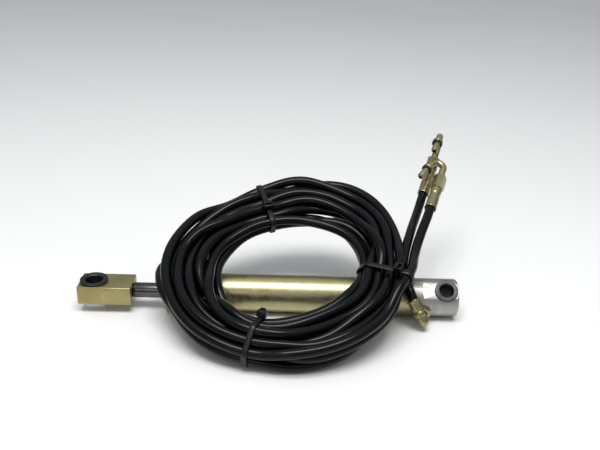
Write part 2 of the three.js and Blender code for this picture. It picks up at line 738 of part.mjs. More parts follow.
const ringAt = (x, ring) => oRing(ring.radius, ring.section, RING_ROUND).translate(x, 0, 0);
const glandRingX = (GLAND_RING_GROOVE.left + GLAND_RING_GROOVE.right) / 2;
const capRingX = (CAP_RING_GROOVE.left + CAP_RING_GROOVE.right) / 2;
const innerRingX = INNER_RING.left + INNER_RING.width / 2;
const guideOuter = GUIDE.radius - FIT_GAP;
const guideLeft = GUIDE.left + FACE_GAP;

cylinder.add(
  piece('barrel_tube', barrelTube(), YELLOW_ZINC),
  piece('rod_port_boss', portBoss(), YELLOW_ZINC),
  piece('end_cap', endCap(), BARE_STEEL),
  piece('base_eye_bush', baseEyeBush(), DARK_STEEL),
  piece('end_cap_o_ring', ringAt(capRingX, CAP_RING), SEAL_RUBBER),
  piece('rod_gland', rodGland(), BARE_STEEL),
  piece('gland_o_ring', ringAt(glandRingX, GLAND_RING), SEAL_RUBBER),
  piece('rod_seal', rodSeal(), SEAL_RUBBER),
  piece('rod_wiper', rodWiper(), SEAL_RUBBER),
  piece('rod_guide_bush', sleeve(guideLeft, GLAND_NOSE_RIGHT - 0.5, ROD_R + 0.06, guideOuter), BRONZE),
  piece('gland_snap_ring', snapRing(), DARK_STEEL),
);

for (const [name, run] of Object.entries(PIPE_RUNS)) {
  cylinder.add(
    piece(`${name}_port_pipe`, portPipe(run), YELLOW_ZINC),
    piece(`${name}_port_nut`, portNut(run), YELLOW_ZINC),
    piece(`${name}_port_o_ring`, portRing(run), SEAL_RUBBER),
    piece(`${name}_port_ferrule`, portFerrule(run), YELLOW_ZINC),
  );
}

cylinder.add(
  piece('piston_rod', pistonRod(), CHROME),
  piece('piston', pistonBody(), BARE_STEEL),
  piece('piston_nut', pistonNut(), DARK_STEEL),
  piece('piston_o_ring', ringAt(innerRingX, PISTON_RING), SEAL_RUBBER),
  piece('piston_seal', pistonSeal(), SEAL_RUBBER),
  piece('piston_guide_ring', pistonGuideRing(), PTFE),
  piece('rod_end_block', rodEndBlock(), YELLOW_ZINC),
  piece('rod_eye_bush', rodEyeBush(), DARK_STEEL),
);

actuator.add(
  piece('hose_coil', coilRing(), HOSE_BLACK),
  piece('hose_a_lead', leadTube(PIPE_RUNS.base, LEAD_A), HOSE_BLACK),
  piece('hose_b_lead', leadTube(PIPE_RUNS.rod, LEAD_B), HOSE_BLACK),
  piece('hose_a_tail', hoseTube(TAIL_A), HOSE_BLACK),
  piece('hose_b_tail', hoseTube(TAIL_B), HOSE_BLACK),
  hoseEnd('hose_a', TAIL_A, END_SIDE_A, END_LEG_A),
  hoseEnd('hose_b', TAIL_B, END_SIDE_B, END_LEG_B),
);

for (const [name, angle] of Object.entries(TIE_ANGLES)) {
  actuator.add(piece(`cable_tie_${name}`, cableTie(angle), NYLON_BLACK));
}

export default actuator;
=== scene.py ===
"""A small double-acting hydraulic cylinder with its two hoses wound into a tied coil.

Everything is in metres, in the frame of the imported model: +X along the cylinder towards
the base eye, +Y away from the viewer, +Z up. Sizes written in millimetres are turned into
metres with MM.
"""

import json
import math

import bmesh
import bpy
import numpy as np
from mathutils import Matrix, Vector


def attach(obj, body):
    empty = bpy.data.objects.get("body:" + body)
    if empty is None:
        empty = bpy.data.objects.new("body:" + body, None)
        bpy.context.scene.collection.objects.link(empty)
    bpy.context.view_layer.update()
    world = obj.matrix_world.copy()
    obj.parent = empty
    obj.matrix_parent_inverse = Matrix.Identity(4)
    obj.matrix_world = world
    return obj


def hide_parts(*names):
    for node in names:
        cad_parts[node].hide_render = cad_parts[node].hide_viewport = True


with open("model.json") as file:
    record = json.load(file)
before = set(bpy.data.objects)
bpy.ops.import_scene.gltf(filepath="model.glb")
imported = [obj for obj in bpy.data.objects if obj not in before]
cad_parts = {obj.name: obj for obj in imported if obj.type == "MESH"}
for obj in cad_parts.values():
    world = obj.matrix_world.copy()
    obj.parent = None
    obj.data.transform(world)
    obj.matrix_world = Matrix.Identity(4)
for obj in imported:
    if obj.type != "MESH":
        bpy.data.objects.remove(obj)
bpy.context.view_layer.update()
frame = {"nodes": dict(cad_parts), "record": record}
MM = 0.001

# ------------------------------------------------------------------ sizes, in millimetres

AXIS_Z = 12.5
BARREL_R = 12.5
BORE_R = 10.0
ROD_R = 5.0
HOSE_R = 3.25
PIPE_R = 2.5

BASE_EYE_X = 116.0
BASE_EYE_TILT = math.radians(51)
ROD_EYE_X = -115.3

COIL_CENTRE = np.array([12.3, -2.5, 35.0])
COIL_TILT = math.radians(20.5)
COIL_TURNS = 6
STEPS_PER_TURN = 72


def in_mm(points):
    return np.asarray(points, float) / MM


def unit(v):
    v = np.asarray(v, float)
    return v / np.linalg.norm(v)


# ------------------------------------------------------------------ camera

CAMERA_PLACE = (16.2, -434.0, 261.5)
CAMERA_PITCH = math.radians(24.6)
CAMERA_ROLL = math.radians(1.68)
CAMERA_YAW = math.radians(0.42)
FOCAL_IN_WIDTHS = 1.25
SENSOR_WIDTH = 36.0


def make_camera():
    cp, sp = math.cos(CAMERA_PITCH), math.sin(CAMERA_PITCH)
    cy, sy = math.cos(CAMERA_YAW), math.sin(CAMERA_YAW)
    forward = Vector((sy * cp, cy * cp, -sp))
    level = Vector((cy, -sy, 0))
    above = level.cross(forward)
    right = level * math.cos(CAMERA_ROLL) + above * math.sin(CAMERA_ROLL)
    up = right.cross(forward)
    turn = Matrix((right, up, -forward)).transposed().to_4x4()
    data = bpy.data.cameras.new("camera")
    data.sensor_width = SENSOR_WIDTH
    data.lens = FOCAL_IN_WIDTHS * SENSOR_WIDTH
    camera = bpy.data.objects.new("camera", data)
    camera.matrix_world = Matrix.Translation(Vector(CAMERA_PLACE) * MM) @ turn
    bpy.context.collection.objects.link(camera)
    bpy.context.scene.camera = camera


make_camera()

# ------------------------------------------------------------------ hoses: their routes

# The bundle's middle radius and half width around the coil, by angle from +X.
BUNDLE = [
    (-7, 61.0, 13.0),
    (15, 62.0, 14.5),
    (36, 63.0, 21.5),
    (60, 61.5, 26.0),
    (85, 56.0, 23.5),
    (108, 52.5, 19.0),
    (130, 52.5, 18.5),
    (150, 55.5, 20.5),
    (170, 58.6, 20.4),
    (190, 61.4, 20.2),
    (208, 62.6, 18.6),
    (228, 64.5, 16.5),
    (251, 64.0, 13.4),
    (276, 60.5, 17.5),
    (302, 58.0, 19.5),
    (332, 60.0, 17.0),
]
TIE_ANGLES = {"top": 108, "right": -10, "bottom": 252.5}
# How far each tie turns out of the line to the coil's middle, in degrees, and how far from the
# bundle's middle it reaches for turns to hold.
TIE_SKEWS = {"top": 0, "right": -14, "bottom": 0}
TIE_REACH = 18.5

# Where in the bundle each turn of each hose lies: from -1, inside, to 1, outside, and its
# layer: -1 below, 1 above.
LANES = {
    "a": [(1.0, -0.5), (-0.5, -1), (0.4, -1), (-0.95, 1), (-0.05, 1), (0.85, 1), (0.95, 0.8)],
    "b": [(1.1, 0.0), (0.1, -1), (-0.85, -1), (0.75, -1), (-0.4, 1), (0.35, 1), (1.0, 1)],
}
LAYER_HEIGHT = 3.5

# Where each hose runs outside the coil, in metres: its port pipe's corner, the end of the
# ferrule there, the way up into the coil, and the way out of it to the end fitting.
PORT_CORNERS = {"a": (0.101, -0.024386, 0.005045), "b": (-0.0465, 0.023282, 0.002856)}
PORT_ENDS = {"a": (0.0929, -0.0169, 0.0201), "b": (-0.0592, 0.0208, 0.0175)}
LEADS = {
    "a": [(0.0906, -0.015, 0.0229)],
    "b": [
        (-0.0612, 0.0196, 0.0197),
        (-0.0652, 0.0174, 0.0232),
        (-0.0691, 0.0132, 0.0262),
        (-0.072, 0.0074, 0.0282),
        (-0.0734, 0.0006, 0.0292),
    ],
}
TAILS = {
    "a": [
        (0.092, 0.0185, 0.0442),
        (0.095, 0.0288, 0.0465),
        (0.0983, 0.0404, 0.0477),
        (0.1018, 0.052, 0.0489),
        (0.1053, 0.063, 0.0518),
        (0.1085, 0.0712, 0.0572),
    ],
    "b": [
        (0.0953, 0.0073, 0.0401),
        (0.0976, 0.0142, 0.0434),
        (0.1004, 0.0213, 0.0471),
        (0.1034, 0.0285, 0.0509),
        (0.1066, 0.036, 0.0542),
        (0.1095, 0.0439, 0.0575),
    ],
}
# The unwrapped angles, in degrees, between which each hose lies in the coil.
SPANS = {"a": (4, 360 * COIL_TURNS - 5), "b": (198, 360 * (COIL_TURNS + 1) - 15)}

EU = np.array([1.0, 0.0, 0.0])
EV = np.array([0.0, math.cos(COIL_TILT), math.sin(COIL_TILT)])
EN = np.array([0.0, -math.sin(COIL_TILT), math.cos(COIL_TILT)])


def around_coil(angle, radius, height):
    """Points in the row frame from angles in degrees, radii and heights over the coil's plane."""
    a = np.radians(angle)[..., None]
    r = np.asarray(radius)[..., None]
    h = np.asarray(height)[..., None]
    return COIL_CENTRE + r * (np.cos(a) * EU + np.sin(a) * EV) + h * EN


def bundle_at(angle):
    """The bundle's middle radius and half width at angles in degrees."""
    table = np.array([BUNDLE[-1]] + BUNDLE + [BUNDLE[0]], float)
    table[0, 0] -= 360
    table[-1, 0] += 360
    turned = (np.asarray(angle) + 7) % 360 - 7
    grid = np.arange(-30, 361, 1.0)
    values = []
    for column in (1, 2):
        line = np.interp(grid, table[:, 0], table[:, column])
        bell = np.hanning(25)
        soft = np.convolve(np.pad(line, 12, mode="edge"), bell / bell.sum(), "valid")
        values.append(np.interp(turned, grid, soft))
    return values


def smooth_lanes(name, turn):
    """Lane and layer of a hose at fractional turns, easing from each turn's value to the next."""
    lanes = np.array(LANES[name], float)
    first = np.clip(turn.astype(int), 0, len(lanes) - 2)
    t = np.clip(turn - first, 0, 1)
    ease = t * t * (3 - 2 * t)
    return (lanes[first] * (1 - ease)[:, None] + lanes[first + 1] * ease[:, None]).T


def start_strand(name):
    step = 360 / STEPS_PER_TURN
    angle = np.arange(SPANS[name][0], SPANS[name][1] + 0.1, step)
    turn = (angle - SPANS[name][0]) / 360
    lane, layer = smooth_lanes(name, turn)
    middle, half = bundle_at(angle)
    radius = middle + lane * (half - HOSE_R)
    return {"angle": angle, "radius": radius, "height": layer * LAYER_HEIGHT}


def ease_apart(strands, rounds=420):
    """Moves the turns apart until none lies in another, and keeps them smooth and in the bundle."""
    names = sorted(strands)
    angle = np.concatenate([strands[n]["angle"] for n in names])
    pos = np.concatenate(
        [np.stack([strands[n]["radius"], strands[n]["height"]], 1) for n in names]
    )
    wanted = pos.copy()
    phase = np.round((angle % 360) / (360 / STEPS_PER_TURN)).astype(int) % STEPS_PER_TURN
    groups = [np.flatnonzero(phase == k) for k in range(STEPS_PER_TURN)]
    widest = max(len(g) for g in groups)
    index = np.full((STEPS_PER_TURN, widest), -1)
    for k, g in enumerate(groups):
        index[k, : len(g)] = g
    there = index >= 0
    both = there[:, :, None] & there[:, None, :] & ~np.eye(widest, dtype=bool)
    starts = np.cumsum([0] + [len(strands[n]["angle"]) for n in names])
    middle, half = bundle_at(angle)
    lowest, highest = middle - half + HOSE_R, middle + half - HOSE_R
    tie_pull = np.zeros(len(angle))
    for tie in TIE_ANGLES.values():
        away = (angle - tie + 180) % 360 - 180
        tie_pull += np.exp(-((away / 14) ** 2))
    gap = 2 * HOSE_R * 1.012
    for n in range(rounds):
        late = n / rounds
        soft = pos.copy()
        for i in range(len(names)):
            s, e = starts[i], starts[i + 1]
            soft[s + 2 : e - 2] = (
                -pos[s : e - 4] + 4 * pos[s + 1 : e - 3] + 4 * pos[s + 3 : e - 1] - pos[s + 4 : e]
            ) / 6
        pos += (0.5 - 0.35 * late) * (soft - pos)
        pos += 0.02 * (1 - late) * (wanted - pos)
        pos[:, 1] *= 1 - (0.004 + 0.02 * tie_pull) * (1 - 0.7 * late)
        q = np.where(there[..., None], pos[index], 1e6)
        apart = q[:, :, None] - q[:, None, :]
        dist = np.linalg.norm(apart, axis=3) + 1e-9
        push = np.where(both & (dist < gap), (gap - dist) / dist * 0.5, 0.0)
        moved = (apart * push[..., None]).sum(2)
        pos[index[there]] += 0.75 * moved[there]
        pos[:, 0] += 0.3 * (np.clip(pos[:, 0], lowest, highest) - pos[:, 0])
        place = around_coil(angle, pos[:, 0], pos[:, 1])
        off = place[:, 1:] - np.array([0.0, AXIS_Z])
        reach = np.linalg.norm(off, axis=1)
        over = (np.abs(place[:, 0] - 11) < 81) & (reach < BARREL_R + HOSE_R + 0.2)
        pos[:, 1] += np.where(over, (BARREL_R + HOSE_R + 0.2 - reach), 0.0)
        pos[:, 1] += np.maximum(0, HOSE_R + 0.1 - place[:, 2])
    for i, name in enumerate(names):
        s, e = starts[i], starts[i + 1]
        strands[name]["radius"] = pos[s:e, 0]
        strands[name]["height"] = pos[s:e, 1]
    return strands


def resample(points, step):
    """Points at equal steps along a centripetal Catmull-Rom curve through the given ones."""
    p = np.asarray(points, float)
    p = np.vstack([2 * p[0] - p[1], p, 2 * p[-1] - p[-2]])
    fine = []
    for i in range(1, len(p) - 2):
        p0, p1, p2, p3 = p[i - 1 : i + 3]
        t0, t1 = 0.0, math.sqrt(np.linalg.norm(p1 - p0))
        t2 = t1 + math.sqrt(np.linalg.norm(p2 - p1))
        t3 = t2 + math.sqrt(np.linalg.norm(p3 - p2))
        t = np.linspace(t1, t2, 12, endpoint=False)[:, None]
        a1 = (t1 - t) / (t1 - t0) * p0 + (t - t0) / (t1 - t0) * p1
        a2 = (t2 - t) / (t2 - t1) * p1 + (t - t1) / (t2 - t1) * p2
        a3 = (t3 - t) / (t3 - t2) * p2 + (t - t2) / (t3 - t2) * p3
        b1 = (t2 - t) / (t2 - t0) * a1 + (t - t0) / (t2 - t0) * a2
        b2 = (t3 - t) / (t3 - t1) * a2 + (t - t1) / (t3 - t1) * a3
        fine.append((t2 - t) / (t2 - t1) * b1 + (t - t1) / (t2 - t1) * b2)
    fine = np.vstack(fine + [p[-2][None]])
    run = np.concatenate([[0], np.cumsum(np.linalg.norm(np.diff(fine, axis=0), axis=1))])
    at = np.linspace(0, run[-1], max(2, round(run[-1] / step)) + 1)
    return np.stack([np.interp(at, run, fine[:, k]) for k in range(3)], 1)


# The spacing of a route's points, how many stay put at each end, the bend that easing aims for,
# and the clearances between two turns, to the barrel and to the table.
STEP = 2.4
HELD_START, HELD_END = 3, 12
TIGHTEST_BEND = 36.0
TURN_GAP, BARREL_GAP, TABLE_GAP = 0.12, 0.15, 0.1
BARREL_START = -71


def hose_route(name, strand):
    """A hose's whole centreline, from inside its port ferrule to inside its end ferrule."""
    end = in_mm(PORT_ENDS[name])
    out = unit(end - in_mm(PORT_CORNERS[name]))
    tail = in_mm(TAILS[name])
    away = unit(tail[-1] - tail[-2])
    coil = around_coil(strand["angle"], strand["radius"], strand["height"])
    points = np.vstack(
        [end - 6 * out, end + 0.6 * out, in_mm(LEADS[name]), coil, tail, tail[-1] + 6 * away]
    )
    return resample(points, STEP)


def near_pairs(points, hose, reach):
    """Pairs of centreline points of different turns that lie within reach of each other."""
    first, second = [], []
    for i in range(len(points)):
        rest = points[i + 1 :]
        close = np.flatnonzero(((rest - points[i]) ** 2).sum(1) < reach * reach) + i + 1
        close = close[(hose[close] != hose[i]) | (close - i > 10)]
        first.append(np.full(len(close), i))
        second.append(close)
    return np.concatenate(first), np.concatenate(second)


def settle(routes, rounds=360):
    """Lets whole hoses ease off each other, the barrel and the table, and even out their bends."""
    names = sorted(routes)
    points = np.vstack([routes[n] for n in names])
    hose = np.concatenate([np.full(len(routes[n]), i) for i, n in enumerate(names)])
    held = np.zeros(len(points), bool)
    for i in range(len(names)):
        own = np.flatnonzero(hose == i)
        held[own[:HELD_START]] = True
        held[own[-HELD_END:]] = True
    start = points.copy()
    free = 1.0 - held
    gap = 2 * HOSE_R + TURN_GAP
    spans = []
    for width in (1, 2, 4, 7):
        low = np.flatnonzero(hose[2 * width :] == hose[: -2 * width])
        spans.append((width, low, (width * STEP) ** 2 / (2 * TIGHTEST_BEND)))
    inner = np.flatnonzero((hose[4:] == hose[:-4])) + 2
    for n in range(rounds):
        if n % 12 == 0:
            one, two = near_pairs(points, hose, gap + 3.0)
        smooth = points.copy()
        smooth[inner] = (
            -points[inner - 2] + 4 * points[inner - 1] + 4 * points[inner + 1] - points[inner + 2]
        ) / 6
        points += (0.45 - 0.3 * n / rounds) * (smooth - points)
        for width, low, most in spans:
            middle, high = low + width, low + 2 * width
            bow = points[middle] - (points[low] + points[high]) / 2
            size = np.linalg.norm(bow, axis=1) + 1e-9
            give = free[middle] + (free[low] + free[high]) / 4 + 1e-9
            extra = (np.maximum(0, size - most) / size / give * 0.4)[:, None] * bow
            points[middle] -= free[middle][:, None] * extra
            points[low] += free[low][:, None] * extra / 2
            points[high] += free[high][:, None] * extra / 2
        for _ in range(2):
            apart = points[one] - points[two]
            dist = np.linalg.norm(apart, axis=1) + 1e-9
            push = (np.maximum(0, gap - dist) / dist * 0.4)[:, None] * apart
            for k in range(3):
                points[:, k] += np.bincount(one, push[:, k], len(points))
                points[:, k] -= np.bincount(two, push[:, k], len(points))
        off = points[:, 1:] - np.array([0.0, AXIS_Z])
        reach = np.linalg.norm(off, axis=1)
        need = BARREL_R + HOSE_R + BARREL_GAP
        beside = (points[:, 0] > BARREL_START) & (reach < need)
        points[beside, 1:] += (off / reach[:, None] * (need - reach)[:, None])[beside]
        points[:, 2] += np.maximum(0, HOSE_R + TABLE_GAP - points[:, 2])
        points[held] = start[held]
    return {name: points[hose == i] for i, name in enumerate(names)}


strands = ease_apart({name: start_strand(name) for name in ("a", "b")})
ROUTES = settle({name: hose_route(name, strands[name]) for name in ("a", "b")})

# ------------------------------------------------------------------ mesh helpers


def add_object(name, data, body, replaced=()):
    piece = bpy.data.objects.new(name, data)
    bpy.context.collection.objects.link(piece)
    if body:
        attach(piece, body)
    if replaced:
        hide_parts(*replaced)
    return piece


def finish_mesh(mesh, angle=35):
    mesh.validate()
    mesh.shade_smooth()
    mesh.set_sharp_from_angle(angle=math.radians(angle))
    mesh.update()
    return mesh


def place_matrix(origin, x, side):
    """A matrix whose +X runs along x and whose +Z leans to side, at an origin in millimetres."""
    x = Vector(x).normalized()
    y = Vector(side).cross(x).normalized()
    z = x.cross(y)
    turn = Matrix((x, y, z)).transposed().to_4x4()
    return Matrix.Translation(Vector(origin) * MM) @ turn


def turned_mesh(name, outline, matrix=None, segments=96):
    """A solid of revolution about X from a closed outline of (x, radius) in millimetres."""
    bm = bmesh.new()
    rings = []
    for x, radius in outline:
        if radius < 1e-6:
            rings.append([bm.verts.new((x * MM, 0, 0))] * segments)
            continue
        ring = []
        for i in range(segments):
            a = 2 * math.pi * i / segments
            ring.append(bm.verts.new((x * MM, radius * MM * math.sin(a), radius * MM * math.cos(a))))
        rings.append(ring)
    for i, ring in enumerate(rings):
        following = rings[(i + 1) % len(rings)]
        if ring[0] is ring[1] and following[0] is following[1]:
            continue
        for j in range(segments):
            k = (j + 1) % segments
            corners = []
            for vert in (ring[j], ring[k], following[k], following[j]):
                if vert not in corners:
                    corners.append(vert)
            bm.faces.new(corners)
    bmesh.ops.recalc_face_normals(bm, faces=bm.faces)
    if matrix:
        bm.transform(matrix)
    mesh = bpy.data.meshes.new(name)
    bm.to_mesh(mesh)
    bm.free()
    return mesh


def rounded(outline, radius=0.35, parts=4):
    """The same closed outline with each corner off the axis rounded."""
    pts = [np.array(p, float) for p in outline]
    out = []
    for i, p in enumerate(pts):
        before, after = pts[i - 1], pts[(i + 1) % len(pts)]
        if p[1] < 1e-6:
            out.append(tuple(p))
            continue
        a, b = before - p, after - p
        la, lb = np.linalg.norm(a), np.linalg.norm(b)
        cut = min(radius, 0.45 * la, 0.45 * lb)
        start, end = p + a / la * cut, p + b / lb * cut
        for k in range(parts + 1):
            t = k / parts
            out.append(tuple((1 - t) ** 2 * start + 2 * t * (1 - t) * p + t * t * end))
    return out


def sweep_mesh(name, path, radius, sides=28, closed=False, caps=True):
    """A round tube along points in millimetres, with a frame that turns as little as it can."""
    p = np.asarray(path, float)
    tangent = np.gradient(p, axis=0)
    if closed:
        tangent = np.roll(p, -1, 0) - np.roll(p, 1, 0)
    tangent /= np.linalg.norm(tangent, axis=1)[:, None]
    side = unit(np.cross(tangent[0], [0.31, 0.2, 0.93]))
    radii = np.broadcast_to(radius, len(p))
    bm = bmesh.new()
    rings = []
    for i, t in enumerate(tangent):
        side = unit(side - t * (side @ t))
        other = np.cross(t, side)
        ring = []
        for k in range(sides):
            a = 2 * math.pi * k / sides
            q = p[i] + radii[i] * (math.cos(a) * side + math.sin(a) * other)
            ring.append(bm.verts.new(tuple(q * MM)))
        rings.append(ring)
    for one, two in zip(rings, rings[1:]):
        for k in range(sides):
            m = (k + 1) % sides
            bm.faces.new((one[k], one[m], two[m], two[k]))
    if caps:
        bm.faces.new(list(reversed(rings[0])))
        bm.faces.new(rings[-1])
    bmesh.ops.recalc_face_normals(bm, faces=bm.faces)
    mesh = bpy.data.meshes.new(name)
    bm.to_mesh(mesh)
    bm.free()
    return mesh


def cut(piece, mesh, operation="DIFFERENCE"):
    """Cuts a mesh out of a piece, or joins it on, exactly."""
    tool = bpy.data.objects.new("tool", mesh)
    bpy.context.collection.objects.link(tool)
    step = piece.modifiers.new("cut", "BOOLEAN")
    step.object = tool
    step.operation = operation
    step.solver = "EXACT"
    apply_modifiers(piece)
    bpy.data.objects.remove(tool)


def apply_modifiers(piece):
    depsgraph = bpy.context.evaluated_depsgraph_get()
    made = bpy.data.meshes.new_from_object(piece.evaluated_get(depsgraph))
    piece.modifiers.clear()
    piece.data = made


def soften(piece, width, segments=3, angle=40):
    """Rounds a piece's sharp edges, width in millimetres."""
    bevel = piece.modifiers.new("bevel", "BEVEL")
    bevel.width = width * MM
    bevel.segments = segments
    bevel.limit_method = "ANGLE"
    bevel.angle_limit = math.radians(angle)
    bevel.use_clamp_overlap = True
    bevel.miter_outer = "MITER_ARC"
    apply_modifiers(piece)
    finish_mesh(piece.data, 32)


def disc_mesh(x0, x1, radius, matrix, segments=96):
    return turned_mesh("disc", [(x0, 0), (x0, radius), (x1, radius), (x1, 0)], matrix, segments)


def box_mesh(low, high):
    bm = bmesh.new()
    bmesh.ops.create_cube(bm, size=1)
    size = (np.array(high) - np.array(low)) * MM
    middle = (np.array(high) + np.array(low)) / 2 * MM
    bm.transform(Matrix.Translation(Vector(middle)) @ Matrix.Diagonal((*size, 1)))
    mesh = bpy.data.meshes.new("box")
    bm.to_mesh(mesh)
    bm.free()
    return mesh


# ------------------------------------------------------------------ materials


class Nodes:
    """A small helper that adds shader nodes and links them."""

    def __init__(self, name):
        self.material = bpy.data.materials.new(name)
        self.material.use_nodes = True
        self.tree = self.material.node_tree
        self.shader = self.tree.nodes["Principled BSDF"]
        self.place = self.tree.nodes.new("ShaderNodeTexCoord").outputs["Object"]

    def add(self, kind, **inputs):
        node = self.tree.nodes.new(kind)
        for key, value in inputs.items():
            self.put(node, key.replace("_", " "), value)
        return node

    def put(self, node, key, value):
        if isinstance(value, bpy.types.NodeSocket):
            self.tree.links.new(value, node.inputs[key])
        else:
            node.inputs[key].default_value = value

    def stretched(self, scale, turn=(0, 0, 0)):
        mapping = self.add("ShaderNodeMapping", Vector=self.place)
        mapping.inputs["Scale"].default_value = scale
        mapping.inputs["Rotation"].default_value = turn
        return mapping.outputs["Vector"]

    def noise(self, scale, detail=4.0, roughness=0.55, vector=None, distortion=0.0):
        node = self.add("ShaderNodeTexNoise", Vector=vector or self.place, Scale=scale, Detail=detail)
        node.inputs["Roughness"].default_value = roughness
        node.inputs["Distortion"].default_value = distortion
        return node.outputs["Fac"]

    def ramp(self, fac, stops):
        node = self.add("ShaderNodeValToRGB", Fac=fac)
        ramp = node.color_ramp
        while len(ramp.elements) < len(stops):
            ramp.elements.new(0.5)
        for element, (position, colour) in zip(ramp.elements, stops):
            element.position = position
            element.color = (*colour, 1) if len(colour) == 3 else colour
        return node.outputs["Color"]

    def span(self, fac, low, high, from_low=0.0, from_high=1.0):
        node = self.tree.nodes.new("ShaderNodeMapRange")
        self.put(node, 0, fac)
        for i, value in enumerate((from_low, from_high, low, high)):
            node.inputs[i + 1].default_value = value
        return node.outputs["Result"]

    def mix(self, fac, one, two, blend="MIX"):
        node = self.tree.nodes.new("ShaderNodeMix")
        node.data_type = "RGBA"
        node.blend_type = blend
        self.put(node, 0, fac)
        for key, value in ((6, one), (7, two)):
            if isinstance(value, tuple):
                value = (*value, 1)
            self.put(node, key, value)
        return node.outputs[2]

    def math(self, operation, one, two=0.5):
        node = self.tree.nodes.new("ShaderNodeMath")
        node.operation = operation
        self.put(node, 0, one)
        self.put(node, 1, two)
        return node.outputs[0]

    def bump(self, height, strength, distance=0.0002, normal=None):
        node = self.add("ShaderNodeBump", Height=height, Strength=strength, Distance=distance)
        if normal:
            self.put(node, "Normal", normal)
        return node.outputs["Normal"]

    def set(self, **inputs):
        for key, value in inputs.items():
            self.put(self.shader, key.replace("_", " "), value)
        return self.material


def yellow_zinc(name, deep, pale, along=(3, 40, 40), gloss=0.27):
    """Yellow-passivated zinc plate: drifting straw and olive tints, draw lines and small scuffs."""
    n = Nodes(name)
    drift = n.noise(38, 3, 0.6)
    cloud = n.noise(140, 5, 0.65, distortion=0.6)
    tint = n.ramp(drift, [(0.32, deep), (0.52, pale), (0.7, tuple(c * 0.9 for c in pale))])
    green = tuple(c * k for c, k in zip(pale, (0.86, 0.97, 0.86)))
    tint = n.mix(n.span(cloud, 0.0, 0.75, 0.42, 0.7), tint, green)
    lines = n.noise(260, 3, 0.6, n.stretched(along))
    tint = n.mix(n.span(lines, 0.0, 0.14, 0.45, 0.75), tint, tuple(c * 0.72 for c in deep))
    scuff = n.ramp(n.noise(700, 4, 0.7), [(0.66, (0, 0, 0)), (0.74, (1, 1, 1))])
    tint = n.mix(n.math("MULTIPLY", scuff, 0.2), tint, (0.5, 0.49, 0.42))
    rough = n.span(n.math("ADD", cloud, lines), gloss - 0.08, gloss + 0.16, 0.7, 1.3)
    normal = n.bump(lines, 0.10, 0.00006)
    normal = n.bump(n.noise(900, 3), 0.06, 0.00005, normal)
    return n.set(Base_Color=tint, Roughness=rough, Normal=normal, Metallic=0.92)


def bare_steel(name, colour, rough_low, rough_high, along=(40, 3, 40), mottle=0.5):
    """Bare machined steel: fine cutter lines, dull clouds of oil and a few dark specks."""
    n = Nodes(name)
    cloud = n.noise(90, 5, 0.65, distortion=0.4)
    dark = tuple(c * (1 - 0.45 * mottle) for c in colour)
    tint = n.mix(n.span(cloud, 0.0, 1.0, 0.35, 0.68), colour, dark)
    speck = n.ramp(n.noise(1500, 2, 0.6), [(0.7, (0, 0, 0)), (0.76, (1, 1, 1))])
    tint = n.mix(n.math("MULTIPLY", speck, 0.4 * mottle), tint, tuple(c * 0.35 for c in colour))
    lines = n.noise(420, 3, 0.6, n.stretched(along))
    rough = n.span(n.math("ADD", cloud, lines), rough_low, rough_high, 0.75, 1.3)
    normal = n.bump(lines, 0.14, 0.00006)
    normal = n.bump(cloud, 0.05, 0.0002, normal)
    return n.set(Base_Color=tint, Roughness=rough, Normal=normal, Metallic=0.9)


def hose_cover(name):
    """Smooth black hose cover with a soft gloss, dust in the hollows and faint drag marks."""
    n = Nodes(name)
    dust = n.noise(120, 5, 0.7)
    colour = n.mix(n.span(dust, 0.0, 0.5, 0.5, 0.8), (0.0018, 0.0022, 0.0026), (0.004, 0.0048, 0.005))
    rough = n.span(n.noise(260, 4, 0.6), 0.12, 0.22, 0.35, 0.7)
    normal = n.bump(n.noise(500, 4, 0.6), 0.05, 0.0002)
    n.set(Base_Color=colour, Roughness=rough, Normal=normal, Metallic=0.0)
    return n.set(Specular_IOR_Level=0.19)


def soft_black(name, colour, rough_low, rough_high, grain=900):
    n = Nodes(name)
    cloud = n.noise(grain, 3, 0.6)
    lighter = tuple(c * 1.8 + 0.001 for c in colour)
    tint = n.mix(n.span(cloud, 0.0, 1.0, 0.4, 0.7), colour, lighter)
    rough = n.span(cloud, rough_low, rough_high, 0.3, 0.7)
    n.set(Base_Color=tint, Roughness=rough, Normal=n.bump(cloud, 0.08, 0.00005))
    return n.set(Specular_IOR_Level=0.3)


def hard_chrome(name):
    n = Nodes(name)
    cloud = n.noise(60, 4, 0.6)
    tint = n.mix(n.span(cloud, 0.0, 1.0, 0.4, 0.65), (0.10, 0.105, 0.10), (0.07, 0.074, 0.07))
    lines = n.noise(300, 2, 0.5, n.stretched((60, 2, 2)))
    rough = n.span(lines, 0.08, 0.16, 0.35, 0.7)
    return n.set(Base_Color=tint, Roughness=rough, Normal=n.bump(lines, 0.03, 0.00003), Metallic=1.0)


ZINC = yellow_zinc("yellow_zinc", (0.33, 0.28, 0.14), (0.41, 0.365, 0.215), gloss=0.3)
ZINC_BLOCK = yellow_zinc(
    "yellow_zinc_block", (0.28, 0.215, 0.085), (0.38, 0.325, 0.16), (6, 6, 30), 0.34
)
ZINC_SMALL = yellow_zinc(
    "yellow_zinc_fittings", (0.25, 0.21, 0.09), (0.40, 0.36, 0.20), (20, 20, 20), 0.25
)
STEEL = bare_steel("machined_steel", (0.40, 0.39, 0.36), 0.38, 0.54)
DARK = bare_steel("dark_steel", (0.048, 0.053, 0.054), 0.36, 0.5, (30, 30, 30), 0.8)
CHROME = hard_chrome("hard_chrome")
HOSE = hose_cover("hose_cover")
RUBBER = soft_black("seal_rubber", (0.012, 0.012, 0.012), 0.4, 0.6)
NYLON = soft_black("nylon", (0.0025, 0.0025, 0.003), 0.28, 0.42, 500)
BRONZE = bare_steel("bronze", (0.45, 0.31, 0.14), 0.3, 0.45)
